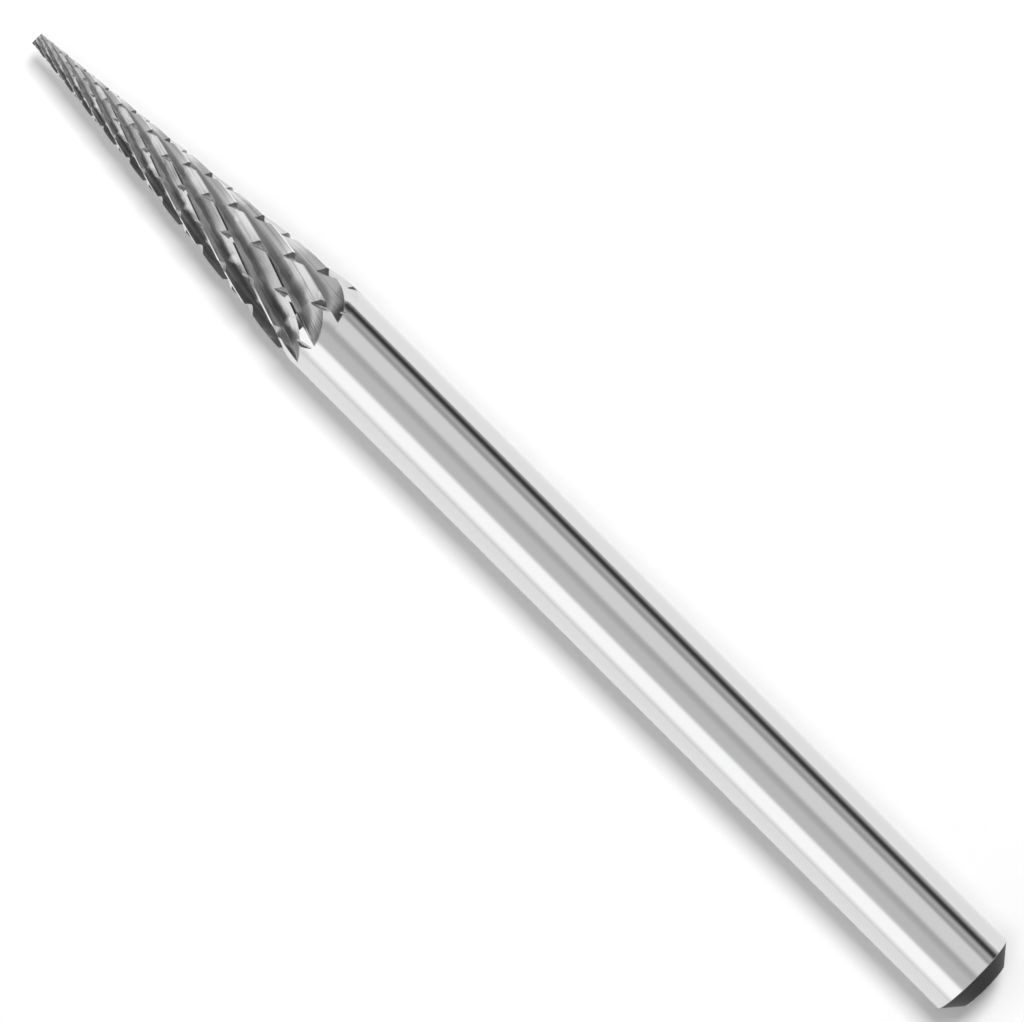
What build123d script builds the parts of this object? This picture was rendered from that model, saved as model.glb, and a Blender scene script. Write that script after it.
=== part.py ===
from build123d import *
from math import asin, atan2, ceil, cos, degrees, exp, log, radians, sin, sqrt, tan
import os

# A solid carbide burr: one ground rod with a plain shank and a double-cut cone. Millimetres and degrees.
# It lies along X, with the middle of the shank's end face at the origin and the tip towards +X.

# Ground rod
overall_length = 43.66
shank_diameter = 3.175
cone_length = 12.7
tip_diameter = 0.44
end_chamfer_length = 0.55
end_chamfer_depth = 0.65

# Right-hand flutes: a steep rake face, a narrow root and a long back that rises to the next tooth's land.
# Depths and widths are those at the full diameter, and shrink with the cone.
flute_count = 9
flute_helix = 19.8
flute_depth = 0.36
flute_rake = 4.0
flute_root_width = 0.07
flute_land_width = 0.08
flute_start_angle = 31.0

# Left-hand chip breakers: narrow grooves that cut each tooth into short lengths.
breaker_count = 6
breaker_helix = 27.6
breaker_depth = 0.22
breaker_width = 0.46
breaker_root_width = 0.06
breaker_start_angle = 46.0

# The grinding wheel lifts out over the thick end of the cone.
runout_start = 0.45
runout_length = 1.14

# The rod is eased down under the run-outs, so that the collet's diameter is on the plain shank alone.
lead_length = 0.8
lead_depth = 0.01

# How the cutters are lofted: the sections in a length, and how far they stand clear of the rod.
runout_sections = 3
runout_overshoot = 0.16
slice_sections = 5
edge_clearance = 0.03
crown_clearance = 0.29

shank_radius = shank_diameter / 2
tip_radius = tip_diameter / 2
cone_base_x = overall_length - cone_length
cone_slope = (shank_radius - tip_radius) / cone_length
apex_x = cone_base_x + shank_radius / cone_slope
head_x = cone_base_x + runout_start
head_radius = cone_slope * (apex_x - head_x)

# Every tooth is a smaller copy of the one behind it, so the head is one slice of the cone, repeated.
# A slice is as long as it takes the two spirals to pass each other by whole pitches of both.
slice_pitches = 2
flute_pitch = 360 / flute_count
breaker_pitch = 360 / breaker_count
helix_sum = tan(radians(flute_helix)) + tan(radians(breaker_helix))
slice_winding = radians(slice_pitches * (flute_pitch + breaker_pitch)) / helix_sum
slice_scale = exp(-slice_winding * cone_slope)
slice_turn = degrees(slice_winding * tan(radians(flute_helix))) - slice_pitches * flute_pitch
slice_count = ceil(log(head_radius / tip_radius) / (slice_winding * cone_slope))


def polar(radius, angle):
    """A point of a cross-section, from its radius and its angle about the axis."""
    return (radius * cos(radians(angle)), radius * sin(radians(angle)))


def reach(start, through, radius):
    """Where the line from one point through another comes out to a radius."""
    step = (through[0] - start[0], through[1] - start[1])
    a = step[0] ** 2 + step[1] ** 2
    b = start[0] * step[0] + start[1] * step[1]
    c = start[0] ** 2 + start[1] ** 2 - radius**2
    along = (sqrt(b * b - a * c) - b) / a
    return (start[0] + along * step[0], start[1] + along * step[1])


def flute_profile():
    """Section of one flute at the full diameter, with its cutting edge at angle 0."""
    root_radius = shank_radius - flute_depth
    edge = (shank_radius, 0)
    foot = (root_radius, -flute_depth * tan(radians(flute_rake)))
    foot_angle = degrees(atan2(foot[1], foot[0]))
    heel = polar(root_radius, foot_angle + degrees(flute_root_width / root_radius))
    land_angle = flute_pitch - degrees(flute_land_width / shank_radius)
    land = polar(shank_radius, land_angle)
    clear = shank_radius + edge_clearance
    crown = polar(shank_radius + crown_clearance, land_angle / 2)
    return [reach(foot, edge, clear), foot, heel, reach(heel, land, clear), crown]


def breaker_profile():
    """Section of one chip breaker at the full diameter, with its middle at angle 0."""
    root_radius = shank_radius - breaker_depth
    top_angle = degrees(asin(breaker_width / 2 / shank_radius))
    root_angle = degrees(asin(breaker_root_width / 2 / root_radius))
    clear = shank_radius + crown_clearance
    low, high = polar(root_radius, -root_angle), polar(root_radius, root_angle)
    low_edge, high_edge = polar(shank_radius, -top_angle), polar(shank_radius, top_angle)
    return [reach(low, low_edge, clear), low, high, reach(high, high_edge, clear)]


def runout_stations():
    """Where the cutters' sections stand over the run-out, with one past its end.

    Each is a place, the rod's radius, the winding of a 45 degree spiral and the lift as a share of the depth."""
    step = runout_length * (1 + runout_overshoot) / runout_sections
    stations = []
    for i in range(runout_sections, -2, -1):
        x = head_x - step * i
        radius = min(shank_radius, cone_slope * (apex_x - x))
        winding = min(0, x - cone_base_x) / shank_radius + log(shank_radius / radius) / cone_slope
        stations.append((x, radius, winding, (max(0, i) * step / runout_length) ** 2))
    return stations


def slice_stations():
    """Where the cutters' sections stand along one slice, evenly turned, with one past each end."""
    stations = []
    for i in range(-1, slice_sections + 2):
        radius = head_radius * slice_scale ** (i / slice_sections)
        stations.append((apex_x - radius / cone_slope, radius, log(shank_radius / radius) / cone_slope, 0))
    return stations


def cutter(profile, depth, hand_helix, stations):
    """A profile lofted along its spiral, shrinking with the cone. A left-hand helix is negative."""
    middle_angle = sum(degrees(atan2(z, y)) for y, z in profile) / len(profile)
    sections = []
    for x, radius, winding, lift in stations:
        size = radius / shank_radius
        shift = polar(depth * lift, middle_angle)
        across = [(y * size + shift[0], z * size + shift[1]) for y, z in profile]
        across_y = polar(1, degrees(winding * tan(radians(hand_helix))))
        place = Plane(origin=(x, 0, 0), x_dir=(0, across_y[0], across_y[1]), z_dir=(1, 0, 0))
        sections.append(place * make_face(Polyline(*across, close=True)))
    return loft(sections)


def ring(shape, count, start_angle):
    """Copies of a shape spaced evenly about the axis, as one compound."""
    return Compound([Rot(start_angle + 360 / count * i, 0, 0) * shape for i in range(count)])


def cut_teeth(outline, stations):
    """A turned length of the rod, with its flutes and then its chip breakers cut."""
    flute = cutter(flute_profile(), flute_depth, flute_helix, stations)
    breaker = cutter(breaker_profile(), breaker_depth, -breaker_helix, stations)
    blank = revolve(make_face(Polyline(*outline, close=True)), axis=Axis.X)
    fluted = blank.cut(ring(flute, flute_count, flute_start_angle))
    return fluted.cut(ring(breaker, breaker_count, breaker_start_angle))


def shank():
    """The chamfered shank and the thick end of the cone, where the flutes run out."""
    outline = [
        (0, 0),
        (0, shank_radius - end_chamfer_depth),
        (end_chamfer_length, shank_radius),
        (cone_base_x - lead_length, shank_radius),
        (cone_base_x, shank_radius - lead_depth),
        (head_x, head_radius),
        (head_x, 0),
    ]
    return cut_teeth(outline, runout_stations())


def head_slice():
    """The first and largest slice of the toothed cone."""
    end_x = apex_x - slice_scale * head_radius / cone_slope
    outline = [(head_x, 0), (head_x, head_radius), (end_x, slice_scale * head_radius), (end_x, 0)]
    return cut_teeth(outline, slice_stations())


def burr():
    """The shank and the slices of the head, without the faces where they meet, sewn into one solid."""
    largest = head_slice()
    lengths = [shank()]
    for i in range(slice_count):
        size = slice_scale**i
        lengths.append(Pos((1 - size) * apex_x, 0, 0) * Rot(slice_turn * i, 0, 0) * scale(largest, by=size))
    lengths[-1] = lengths[-1].split(Plane(origin=(overall_length, 0, 0), z_dir=(1, 0, 0)), keep=Keep.BOTTOM)

    flat_ends = [length.faces().filter_by(Axis.X).sort_by(Axis.X) for length in lengths]
    skin = [flat_ends[0][0], flat_ends[-1][-1]]
    for length, ends in zip(lengths, flat_ends):
        skin += [face for face in length.faces() if face not in ends]
    return Solid(Shell(skin))


os.makedirs("parts", exist_ok=True)
export_step(burr(), "parts/burr.step")
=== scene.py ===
import math

import bmesh
import bpy
from mathutils import Matrix, Vector


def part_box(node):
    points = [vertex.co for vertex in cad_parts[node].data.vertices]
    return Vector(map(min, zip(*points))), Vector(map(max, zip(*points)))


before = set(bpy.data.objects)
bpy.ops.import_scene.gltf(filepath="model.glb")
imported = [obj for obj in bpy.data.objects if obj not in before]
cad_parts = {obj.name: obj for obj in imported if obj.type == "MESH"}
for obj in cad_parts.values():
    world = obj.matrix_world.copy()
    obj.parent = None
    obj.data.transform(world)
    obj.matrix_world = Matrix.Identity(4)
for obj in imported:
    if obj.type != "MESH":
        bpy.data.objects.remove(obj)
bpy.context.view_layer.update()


# ---- The burr ----
# One rod of sintered tungsten carbide. The shank is centreless ground bright, the head has two sets of
# crossing flutes ground into it by a diamond wheel, and the chamfered end is left as it was sintered.
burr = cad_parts["burr"]
millimetre = 0.001
overall_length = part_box("burr")[1].x
shank_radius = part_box("burr")[1].y
tip_radius = 0.22 * millimetre
cone_length = 12.7 * millimetre
lead_length = 0.8 * millimetre
chamfer_length = 0.55 * millimetre
cone_base_x = overall_length - cone_length
cone_slope = (shank_radius - tip_radius) / cone_length
apex_x = cone_base_x + shank_radius / cone_slope
plain_shank_end_x = cone_base_x - lead_length

flute_count = 9
flute_depth = 0.36 * millimetre
flute_helix = math.radians(19.8)
flute_start = math.radians(31)
flute_pitch = 2 * math.pi / flute_count

shank_grey = (0.7, 0.7, 0.705, 1)
# A painted highlight on the lands of the cone
land_highlight_grey = (0.9, 0.9, 0.905, 1)
flute_grey = (0.7, 0.7, 0.705, 1)
streak_grey = (0.4, 0.4, 0.4, 1)
# Painted shade in the deep gullets
gullet_shade_grey = (0.25, 0.25, 0.25, 1)
sintered_grey = (0.014, 0.014, 0.015, 1)


class Wire:
    """A shader socket's value. Sums on it add Math nodes, and node adds any other node to its tree."""

    def __init__(self, tree, socket=None):
        self.tree = tree
        self.socket = socket

    def node(self, kind, settings, inputs, output=0):
        """Adds a node, sets it up and then fills its sockets. What comes back is one of its outputs."""
        made = self.tree.nodes.new(kind)
        for name, value in settings.items():
            if name == "stops":
                ramp = made.color_ramp.elements
                while len(ramp) < len(value):
                    ramp.new(1)
                for stop, (position, level) in zip(ramp, value):
                    stop.position = position
                    stop.color = (level, level, level, 1)
            else:
                setattr(made, name, value)
        for name, value in inputs.items():
            if isinstance(value, Wire):
                self.tree.links.new(value.socket, made.inputs[name])
            else:
                made.inputs[name].default_value = value
        return None if output is None else Wire(self.tree, made.outputs[output])

    def also(self, output):
        """Another output of the node that this value comes from."""
        return Wire(self.tree, self.socket.node.outputs[output])

    def split(self):
        """The X, Y and Z of a vector."""
        along_x = self.node("ShaderNodeSeparateXYZ", {}, {"Vector": self}, "X")
        return along_x, along_x.also("Y"), along_x.also("Z")

    def math(self, operation, *values):
        return self.node("ShaderNodeMath", {"operation": operation}, dict(enumerate(values)))

    def __add__(self, other):
        return self.math("ADD", self, other)

    __radd__ = __add__

    def __sub__(self, other):
        return self.math("SUBTRACT", self, other)

    def __rsub__(self, other):
        return self.math("SUBTRACT", other, self)

    def __mul__(self, other):
        return self.math("MULTIPLY", self, other)

    __rmul__ = __mul__

    def __truediv__(self, other):
        return self.math("DIVIDE", self, other)

    def __rtruediv__(self, other):
        return self.math("DIVIDE", other, self)

    def ramp(self, low, high):
        """0 below one value, 1 above the other, and smooth between."""
        return self.node(
            "ShaderNodeMapRange",
            {"interpolation_type": "SMOOTHSTEP"},
            {"Value": self, "From Min": low, "From Max": high},
        )

    def noise(self, vector, scale, detail):
        return self.node("ShaderNodeTexNoise", {}, {"Vector": vector, "Scale": scale, "Detail": detail})

    def blend(self, share, first, second):
        return self.node(
            "ShaderNodeMix", {"data_type": "RGBA"}, {"Factor": share, "A": first, "B": second}, "Result"
        )


def empty_tree(holder):
    """The node tree of a material or of the world, emptied."""
    holder.use_nodes = True
    holder.node_tree.nodes.clear()
    return Wire(holder.node_tree)


carbide = bpy.data.materials.new("ground_carbide")
wire = empty_tree(carbide)
place = wire.node("ShaderNodeTexCoord", {}, {}, "Object")
x, y, z = place.split()
radius = wire.math("SQRT", y * y + z * z)

# Where along the rod it is sintered, where its head starts, and where the cone's lands start to get a painted
# highlight
sintered_to_x = chamfer_length - 0.02 * millimetre
ground_from_x = chamfer_length + 0.01 * millimetre
head_fade = 0.05 * millimetre
cone_fade = 1 * millimetre
sintered = 1 - x.ramp(sintered_to_x, ground_from_x)
head = x.ramp(plain_shank_end_x, plain_shank_end_x + head_fade)
land_highlight_on_cone = x.ramp(cone_base_x, cone_base_x + cone_fade)

# How deep a point lies under the rod, as a share of a flute's depth, which shrinks with the cone
rod_radius = wire.math("MINIMUM", (apex_x - x) * cone_slope, shank_radius)
depth = (rod_radius - radius) * shank_radius / (rod_radius * flute_depth)

# A point's angle, turned back along the flutes' spiral, and where that lies from one cutting edge to the next
shank_winding = wire.math("MINIMUM", x - cone_base_x, 0) / shank_radius
cone_winding = wire.math("LOGARITHM", shank_radius / rod_radius, math.e) / cone_slope
turn = (shank_winding + cone_winding) * math.tan(flute_helix)
spiral = wire.math("ARCTAN2", z, y) - flute_start - turn
from_edge = wire.math("FRACT", spiral / flute_pitch)

# Each part of a flute fades in between two shares of its depth, and the rake faces also between two of the
# pitch
cut_depths = (0.02, 0.06)
rake_depths = (0.05, 0.12)
rake_pitches = (0.955, 0.972)
gullet_shade_depths = (0.6, 0.84)
gullet_shade_share = 0.85
root_highlight_depths = (0.95, 0.985)
cut = depth.ramp(*cut_depths) * head
rake = from_edge.ramp(*rake_pitches) * depth.ramp(*rake_depths) * head
# Painted shade in the deep part of each flute, left off the rake faces
gullet_shade = depth.ramp(*gullet_shade_depths) * (1 - rake) * head * gullet_shade_share
# A paler line of painted highlight along the root, which takes back part of the painted gullet shade
root_highlight = depth.ramp(*root_highlight_depths)

# Fine rings round the shank from the centreless wheel, scratches and broader streaks along the flutes from
# the diamond wheel, and the grains of the sintered end. A scale is about how many marks there are in a metre,
# or for the scratches' width in a radian, or for the streaks to one scratch.
ring_scale = 14000
ring_waver_scale = 300
scratch_length_scale = 500
scratch_width_scale = 45
streak_scale = 0.6
grain_scale = 12000
rings = wire.node(
    "ShaderNodeCombineXYZ",
    {},
    {"X": x * ring_scale, "Y": y * ring_waver_scale, "Z": z * ring_waver_scale},
)
ring_marks = wire.noise(rings, scale=1, detail=3)
scratch_y = wire.math("COSINE", spiral) * scratch_width_scale
scratch_z = wire.math("SINE", spiral) * scratch_width_scale
scratches = wire.node(
    "ShaderNodeCombineXYZ", {}, {"X": x * scratch_length_scale, "Y": scratch_y, "Z": scratch_z}
)
scratch_marks = wire.noise(scratches, scale=1, detail=3)
streaks = wire.noise(scratches, scale=streak_scale, detail=4)
grains = wire.noise(place, scale=grain_scale, detail=2)

# The colours: streaked backs, painted shade in the gullets with a paler root from a painted highlight, and a
# painted highlight on the lands of the cone
streak_levels = (0.5, 0.72)
streak_share = 0.8
# How much of the painted gullet shade the root's painted highlight takes back
root_highlight_share = 0.6
back_color = wire.blend(streaks.ramp(*streak_levels) * streak_share, flute_grey, streak_grey)
cut_color_and_gullet_shade = wire.blend(gullet_shade * (1 - root_highlight * root_highlight_share), back_color, gullet_shade_grey)
# The cone's lands take a painted highlight in their colour
uncut_color_and_land_highlight = wire.blend(land_highlight_on_cone, shank_grey, land_highlight_grey)
ground_color = wire.blend(cut, uncut_color_and_land_highlight, cut_color_and_gullet_shade)
color = wire.blend(sintered, ground_color, sintered_grey)

# How rough each finish is, and how much its marks and the gullets add
shank_roughness = 0.08
ring_roughness = 0.03
flute_roughness = 0.11
scratch_roughness = 0.1
gullet_roughness = 0.08
sintered_roughness = 0.55
uncut_roughness = shank_roughness + ring_roughness * ring_marks
cut_roughness = flute_roughness + scratch_roughness * scratch_marks + gullet_roughness * gullet_shade
ground_roughness = uncut_roughness * (1 - cut) + cut_roughness * cut
roughness = ground_roughness * (1 - sintered) + sintered_roughness * sintered

# How high the marks stand, against the scratches in the flutes
ring_height = 0.03
grain_height = 2
bump_strength = 0.5
bump_distance = 0.008 * millimetre
ground_height = ring_height * ring_marks * (1 - cut) + scratch_marks * cut
height = ground_height * (1 - sintered) + grain_height * grains * sintered
bump = wire.node(
    "ShaderNodeBump", {}, {"Strength": bump_strength, "Distance": bump_distance, "Height": height}
)

sintered_metallic = 0.25
metallic = 1 - (1 - sintered_metallic) * sintered
surface = wire.node(
    "ShaderNodeBsdfPrincipled",
    {},
    {"Base Color": color, "Roughness": roughness, "Metallic": metallic, "Normal": bump},
)
wire.node("ShaderNodeOutputMaterial", {}, {"Surface": surface}, None)
burr.material_slots[0].material = carbide


# ---- The floor ----
# A sheet of white paper that the burr lies on. It shows white to the camera and in the metal, and throws
# three quarters of the light back.
floor_size = 0.8
paper_white = (1, 1, 1, 1)
paper_grey = (0.75, 0.75, 0.75, 1)
floor_form = bmesh.new()
bmesh.ops.create_grid(floor_form, x_segments=1, y_segments=1, size=floor_size / 2)
bmesh.ops.translate(floor_form, verts=floor_form.verts, vec=(0, 0, -shank_radius))
floor_mesh = bpy.data.meshes.new("floor")
floor_form.to_mesh(floor_mesh)
floor_form.free()
floor = bpy.data.objects.new("floor", floor_mesh)
bpy.context.scene.collection.objects.link(floor)

paper = bpy.data.materials.new("white_paper")
wire = empty_tree(paper)
to_camera = wire.node("ShaderNodeLightPath", {}, {}, "Is Camera Ray")
seen = wire.math("MAXIMUM", to_camera, to_camera.also("Is Glossy Ray"))
sheet = wire.node("ShaderNodeBsdfDiffuse", {}, {"Color": wire.blend(seen, paper_grey, paper_white)})
wire.node("ShaderNodeOutputMaterial", {}, {"Surface": sheet}, None)
floor_mesh.materials.append(paper)


# ---- The light ----
# A tent of soft white panels, which the ground metal shows as bands. A dark gap between those over the shank
# and those over the tip keeps the flat backs of the flutes grey. Two soft boxes, which don't show in the
# metal, throw the shadow.
world = bpy.data.worlds.new("tent")
bpy.context.scene.world = world
wire = empty_tree(world)
x, y, z = wire.node("ShaderNodeTexCoord", {}, {}, "Generated").split()
side = wire.math("ARCTAN2", y * -1, z) * math.degrees(1)

# Each panel goes from one angle to another, in degrees from upright towards -Y, at one level. Between two
# panels the light fades from one's level to the other's.
brightest = 1.5
shank_panels = [
    (-96, -92, 0.9),
    (-78, -49, 1.33),
    (-40, -17, 0.68),
    (-6, 2, 0.54),
    (11, 40, 0.88),
    (46, 51, 0.44),
    (56, 59, 0.56),
    (68, 76, 0.05),
    (88, 98, 0.68),
]
gap_panels = [(-98, -76, 0.8), (-64, 24, 0.03), (36, 98, 0.6)]
tip_panels = [(-98, -92, 0.5), (-84, -34, 0.8), (-22, 14, 1.12), (32, 84, 0.6)]


def panel_row(panels, angle):
    """The level of a row of panels at an angle. The ramp holds shares of the brightest, up to 1."""
    edges = [(edge, level) for low, high, level in panels for edge in (low, high)]
    stops = [((edge + 180) / 360, level / brightest) for edge, level in edges]
    return wire.node("ShaderNodeValToRGB", {"stops": stops}, {"Fac": (angle + 180) / 360}) * brightest


# The panels over the shank hang aslant, so that its bands turn a little along it
slant = 50
slant_from_x = -0.124
slant_reach = (-0.1, 0.2)
slant_x = wire.math("MAXIMUM", x - slant_from_x, slant_reach[0])
aslant = side - slant * wire.math("MINIMUM", slant_x, slant_reach[1])

# How far a ray leans towards the tip, from -1 to 1, says which row of panels it meets. The row over the tip
# is dimmer near the floor, and a weak glow stands behind the chamfered end.
shank_row_x = -0.05
shank_row_fade = (0.12, 0.2)
gap_row_from = (0.07, 0.13)
tip_row_from = (0.35, 0.4)
tip_row_dims = (0.62, 0.8)
tip_row_dimmed = 0.9
end_glow_from = (0.16, 0.3)
end_glow_level = 0.15
over_shank = 1 - wire.math("ABSOLUTE", x - shank_row_x).ramp(*shank_row_fade)
over_tip = x.ramp(*tip_row_from)
over_gap = x.ramp(*gap_row_from) * (1 - over_tip)
shank_row = panel_row(shank_panels, aslant) * over_shank
gap_row = panel_row(gap_panels, side) * over_gap
tip_row = panel_row(tip_panels, side) * over_tip * (1 - x.ramp(*tip_row_dims) * tip_row_dimmed)
end_glow = (x * -1).ramp(*end_glow_from) * end_glow_level

# The camera sees plain white past the floor
tent_white = (1, 1, 1, 1)
seen = wire.node("ShaderNodeLightPath", {}, {}, "Is Camera Ray")
strength = seen + (1 - seen) * (shank_row + gap_row + tip_row + end_glow)
tent = wire.node("ShaderNodeBackground", {}, {"Color": tent_white, "Strength": strength})
wire.node("ShaderNodeOutputWorld", {}, {"Surface": tent}, None)

# The boxes' angles are those at which a point near the middle of the burr sees them
box_height = 0.5
middle_x = 20 * millimetre


def soft_box(name, tip_angles, side_angles, watts):
    """A flat lamp over the burr, between two angles from upright towards the tip and two towards -Y."""
    low_x, high_x = (box_height * math.tan(math.radians(angle)) for angle in tip_angles)
    high_y, low_y = (-box_height * math.tan(math.radians(angle)) for angle in side_angles)
    lamp = bpy.data.lights.new(name, "AREA")
    lamp.shape = "RECTANGLE"
    lamp.size = high_x - low_x
    lamp.size_y = high_y - low_y
    lamp.energy = watts
    box = bpy.data.objects.new(name, lamp)
    box.visible_glossy = False
    box.location = (middle_x + (low_x + high_x) / 2, (low_y + high_y) / 2, box_height)
    bpy.context.scene.collection.objects.link(box)


soft_box("main_box", tip_angles=(6.5, 19.5), side_angles=(10, 28), watts=1.9)
soft_box("fill_box", tip_angles=(2, 14), side_angles=(-18, -6), watts=0.25)


# ---- The camera ----
# A long lens, nearly straight above the burr and a little towards its tip. The burr lies across the view from
# corner to corner, with its tip at the upper left.
tilt = math.radians(2.6)
view_width = 33.34 * millimetre
target = Vector((21.89, -0.064, 0)) * millimetre
backward = Vector((math.sin(tilt), 0, math.cos(tilt)))
right = Vector((-1, -1, 0)).normalized()
right = (right - right.dot(backward) * backward).normalized()
up = backward.cross(right)
turned = Matrix((right, up, backward)).transposed().to_4x4()
camera_data = bpy.data.cameras.new("camera")
camera_data.lens = 300
camera_data.sensor_width = 36
camera_data.clip_start = 0.01
camera_data.clip_end = 10
distance = view_width * camera_data.lens / camera_data.sensor_width
camera = bpy.data.objects.new("camera", camera_data)
camera.matrix_world = Matrix.Translation(target + backward * distance) @ turned
bpy.context.scene.collection.objects.link(camera)
bpy.context.scene.camera = camera
bpy.context.scene.view_settings.view_transform = "Standard"
